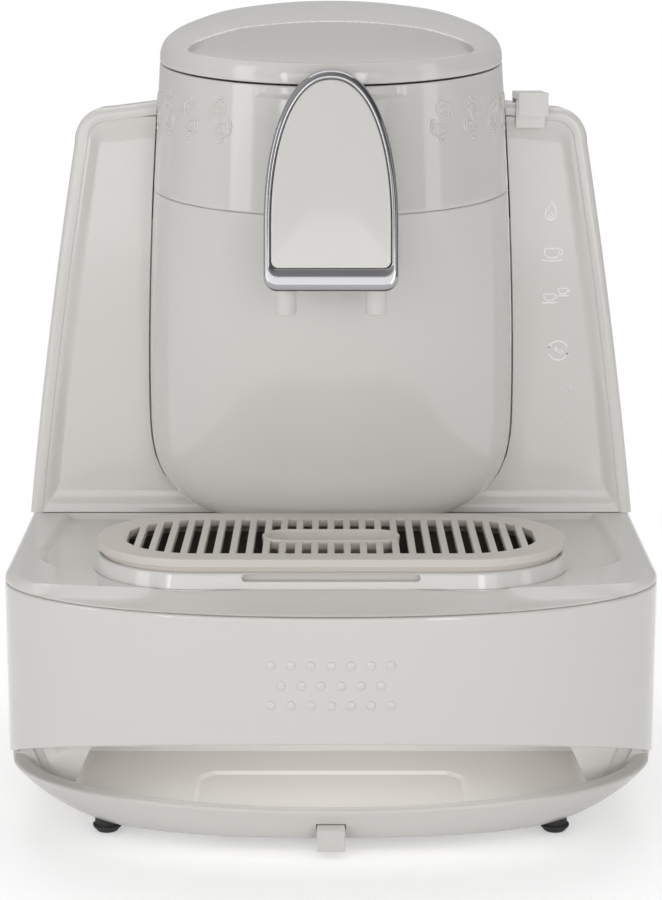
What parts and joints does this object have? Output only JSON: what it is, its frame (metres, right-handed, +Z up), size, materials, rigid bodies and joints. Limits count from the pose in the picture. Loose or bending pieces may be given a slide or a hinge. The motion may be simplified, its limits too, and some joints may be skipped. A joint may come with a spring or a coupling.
{
  "type": "electric turkish coffee maker",
  "caption": "Countertop Turkish coffee maker: tall brewing head with two spouts over a lift-out drip tray, broad touch-panel shield, pull-out waste drawer, open store below.",
  "frame": {"origin": "on the table, midway between the sides and between the drawer front and the back cover", "axes": "+Z up, +Y to the back, +X to the right seen from the front"},
  "size_m": [0.27, 0.265, 0.332],
  "materials": {
    "shell": "glossy warm grey moulded plastic",
    "inner_plastic": "satin moulded plastic",
    "chrome": "bright chrome plate",
    "steel": "drawn stainless steel",
    "rubber": "matt black rubber",
    "silicone": "pale silicone",
    "ink": "white print",
    "light_pipe": "translucent grey",
    "black_plastic": "black moulded plastic",
    "tank_clear": "smoky clear plastic",
    "float_orange": "orange plastic",
    "board": "green circuit board",
    "aluminium": "cast aluminium"
  },
  "bodies": {
    "machine": {"base_tub": "shell", "base_cover": "inner_plastic", "cover_screws": "steel", "feet": "rubber", "deck_plate": "shell", "storage_liner": "inner_plastic", "wing_shell": "shell", "left_fascia": "shell", "right_fascia": "shell", "touch_icons": "ink", "status_lights": "light_pipe", "touch_board": "board", "column_shell": "shell", "head_band": "shell", "head_deck": "inner_plastic", "brew_pot": "steel", "pot_gasket": "silicone", "heater_ring": "aluminium", "temperature_probe": "steel", "outlet_block": "inner_plastic", "solenoid": "black_plastic", "valve_spring": "steel", "outlet_pipe": "inner_plastic", "spout_block": "inner_plastic", "spouts": "inner_plastic", "nose_frame": "chrome", "nose_cover": "shell", "lid_pin": "steel", "rear_cover": "shell", "rear_screws": "steel", "tank_bay": "inner_plastic", "water_pump": "black_plastic", "pump_mounts": "rubber", "suction_hose": "silicone", "feed_hose": "silicone", "water_nozzle": "inner_plastic", "power_board": "board", "switch_bezel": "black_plastic", "cord_gland": "black_plastic"},
    "lid": {"lid_shell": "shell", "lid_liner": "inner_plastic", "lid_gasket": "silicone"},
    "drawer": {"drawer_front": "shell", "drawer_tub": "inner_plastic"},
    "tray": {"drip_tray": "shell"},
    "grill": {"drip_grill": "shell"},
    "tank": {"water_tank": "tank_clear", "tank_lid_pin": "steel"},
    "tank_lid": {"tank_lid": "shell"},
    "tank_valve": {"tank_valve": "inner_plastic"},
    "float": {"level_float": "float_orange"},
    "rocker": {"power_rocker": "black_plastic"},
    "latch": {"base_latch": "shell"},
    "plunger": {"valve_plunger": "steel"}
  },
  "joints": [
    {"name": "lid_hinge", "type": "hinge", "parent": "machine", "child": "lid", "pos_m": [0, 0.10928, 0.3202], "axis": [-1, 0, 0], "range_deg": [0, 95]},
    {"name": "drawer_slide", "type": "slide", "parent": "machine", "child": "drawer", "axis": [0, -1, 0], "range_m": [0, 0.09]},
    {"name": "tray_lift", "type": "slide", "parent": "machine", "child": "tray", "axis": [0, 0, 1], "range_m": [0, 0.012]},
    {"name": "grill_lift", "type": "slide", "parent": "tray", "child": "grill", "axis": [0, 0, 1], "range_m": [0, 0.014]},
    {"name": "tank_lift", "type": "slide", "parent": "machine", "child": "tank", "axis": [0, 0, 1], "range_m": [0, 0.038]},
    {"name": "tank_lid_hinge", "type": "hinge", "parent": "tank", "child": "tank_lid", "pos_m": [0.05867, 0.1241, 0.2826], "axis": [-1, 0, 0], "range_deg": [0, 95]},
    {"name": "tank_valve_slide", "type": "slide", "parent": "tank", "child": "tank_valve", "axis": [0, 0, 1], "range_m": [0, 0.003], "stiffness_N_per_m": 80, "springref_m": -0.003},
    {"name": "float_slide", "type": "slide", "parent": "tank", "child": "float", "axis": [0, 0, 1], "range_m": [0, 0.09]},
    {"name": "power_switch", "type": "hinge", "parent": "machine", "child": "rocker", "pos_m": [-0.088, 0.1265, 0.076], "axis": [-1, 0, 0], "range_deg": [0, 16]},
    {"name": "latch_pull", "type": "slide", "parent": "machine", "child": "latch", "axis": [0, -1, 0], "range_m": [0, 0.003], "stiffness_N_per_m": 300, "springref_m": -0.001},
    {"name": "outlet_valve", "type": "slide", "parent": "machine", "child": "plunger", "axis": [0, 0, -1], "range_m": [0, 0.01], "stiffness_N_per_m": 400, "springref_m": -0.003, "deforming": ["valve_spring"]}
  ]
}
